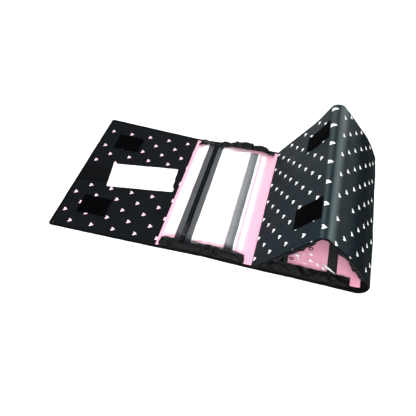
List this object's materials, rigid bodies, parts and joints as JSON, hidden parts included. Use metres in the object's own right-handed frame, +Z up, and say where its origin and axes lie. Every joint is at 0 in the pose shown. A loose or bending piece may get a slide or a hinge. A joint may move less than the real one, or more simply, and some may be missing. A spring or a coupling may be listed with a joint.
{
  "type": "roll-up makeup bag",
  "caption": "Padded fabric strip that folds into a flat bag, with clear zipped pouches on its inner side, a closing flap and a hanging strap.",
  "frame": {"origin": "middle of the footprint of the half-unfolded bag, on the surface that it lies on", "axes": "+Z up, +X along the strip from the closing flap to the spine, +Y across it to the far edge"},
  "size_m": [0.5095, 0.27, 0.1165],
  "materials": {
    "outer_cloth": "satin woven polyester",
    "dark_lining": "satin lining",
    "pink_lining": "matt woven lining",
    "binding_tape": "ribbed binding tape",
    "hook_and_loop": "matt hook-and-loop",
    "webbing": "woven webbing",
    "white_paper": "matt paper",
    "clear_vinyl": "clear gloss",
    "gusset_cloth": "crumpled woven cloth",
    "zip_tape": "woven zip tape",
    "zip_metal": "black enamel"
  },
  "bodies": {
    "base": {"second_panel_shell": "outer_cloth", "second_panel_lining": "pink_lining", "second_panel_binding_near": "binding_tape", "second_panel_binding_far": "binding_tape"},
    "first_panel": {"first_panel_shell": "outer_cloth", "first_panel_lining": "pink_lining", "first_panel_binding_near": "binding_tape", "first_panel_binding_far": "binding_tape"},
    "flap": {"flap_shell": "outer_cloth", "flap_lining": "dark_lining", "flap_binding": "binding_tape", "flap_patch_near": "hook_and_loop", "flap_patch_far": "hook_and_loop"},
    "strap": {"hanging_strap": "webbing", "strap_sleeve": "white_paper"},
    "spine": {"spine_strip": "outer_cloth"},
    "cover": {"cover_shell": "outer_cloth", "cover_lining": "pink_lining", "cover_binding_near": "binding_tape", "cover_binding_far": "binding_tape"},
    "ridge": {"ridge_strip": "outer_cloth"},
    "end_panel": {"end_panel_shell": "outer_cloth", "end_panel_lining": "pink_lining", "end_panel_binding": "binding_tape", "end_panel_patch_near": "hook_and_loop", "end_panel_patch_far": "hook_and_loop"},
    "pouch_1": {"pouch_1_back": "clear_vinyl", "pouch_1_window": "clear_vinyl", "pouch_1_front_strip": "clear_vinyl", "pouch_1_gusset": "gusset_cloth", "pouch_1_zip_tape": "zip_tape", "pouch_1_hook_strip": "hook_and_loop"},
    "zip_1": {"pouch_1_zip_slider": "zip_metal"},
    "pouch_2": {"pouch_2_back": "clear_vinyl", "pouch_2_window": "clear_vinyl", "pouch_2_front_strip": "clear_vinyl", "pouch_2_gusset": "gusset_cloth", "pouch_2_zip_tape": "zip_tape", "pouch_2_hook_strip": "hook_and_loop"},
    "zip_2": {"pouch_2_zip_slider": "zip_metal"},
    "pouch_3": {"pouch_3_back": "clear_vinyl", "pouch_3_window": "clear_vinyl", "pouch_3_front_strip": "clear_vinyl", "pouch_3_gusset": "gusset_cloth", "pouch_3_zip_tape": "zip_tape", "pouch_3_hook_strip": "hook_and_loop"},
    "zip_3": {"pouch_3_zip_slider": "zip_metal"},
    "pouch_4": {"pouch_4_back": "clear_vinyl", "pouch_4_window": "clear_vinyl", "pouch_4_front_strip": "clear_vinyl", "pouch_4_gusset": "gusset_cloth", "pouch_4_zip_tape": "zip_tape", "pouch_4_hook_strip": "hook_and_loop"},
    "zip_4": {"pouch_4_zip_slider": "zip_metal"}
  },
  "joints": [
    {"name": "mid_fold", "type": "hinge", "parent": "base", "child": "first_panel", "pos_m": [0.07819, 0, 0.00295], "axis": [0, 1, 0], "range_deg": [0, 45]},
    {"name": "flap_fold", "type": "hinge", "parent": "first_panel", "child": "flap", "pos_m": [-0.07081, 0, 0.00295], "axis": [0, 1, 0], "range_deg": [0, 115]},
    {"name": "strap_swing", "type": "hinge", "parent": "flap", "child": "strap", "pos_m": [-0.25144, -0.016, 0.0044], "axis": [0.1392, -0.9903, 0], "range_deg": [0, 170]},
    {"name": "spine_fold", "type": "hinge", "parent": "base", "child": "spine", "pos_m": [0.23881, 0, 0], "axis": [0, -1, 0], "range_deg": [-30, 0]},
    {"name": "cover_fold", "type": "hinge", "parent": "spine", "child": "cover", "pos_m": [0.24877, 0, 0.02451], "axis": [0, -1, 0], "range_deg": [0, 49.5]},
    {"name": "ridge_turn", "type": "hinge", "parent": "cover", "child": "ridge", "pos_m": [0.17402, 0, 0.1165], "axis": [0, 1, 0], "range_deg": [0, 118.8]},
    {"name": "end_lift", "type": "hinge", "parent": "ridge", "child": "end_panel", "pos_m": [0.16452, 0, 0.1165], "axis": [0, 1, 0], "range_deg": [0, 105]},
    {"name": "pouch_1_slide", "type": "slide", "parent": "first_panel", "child": "pouch_1", "axis": [0, -1, 0], "range_m": [0, 0.29]},
    {"name": "zip_1_slide", "type": "slide", "parent": "pouch_1", "child": "zip_1", "axis": [0, 1, 0], "range_m": [0, 0.194]},
    {"name": "pouch_2_slide", "type": "slide", "parent": "base", "child": "pouch_2", "axis": [0, -1, 0], "range_m": [0, 0.29]},
    {"name": "zip_2_slide", "type": "slide", "parent": "pouch_2", "child": "zip_2", "axis": [0, 1, 0], "range_m": [0, 0.194]},
    {"name": "pouch_3_slide", "type": "slide", "parent": "cover", "child": "pouch_3", "axis": [0, -1, 0], "range_m": [0, 0.29]},
    {"name": "zip_3_slide", "type": "slide", "parent": "pouch_3", "child": "zip_3", "axis": [0, 1, 0], "range_m": [0, 0.194]},
    {"name": "pouch_4_slide", "type": "slide", "parent": "end_panel", "child": "pouch_4", "axis": [0, -1, 0], "range_m": [0, 0.29]},
    {"name": "zip_4_slide", "type": "slide", "parent": "pouch_4", "child": "zip_4", "axis": [0, 1, 0], "range_m": [0, 0.194]}
  ],
  "couplings": [
    {"joint": "cover_fold", "follows": "ridge_turn", "ratio": 0.4166}
  ]
}
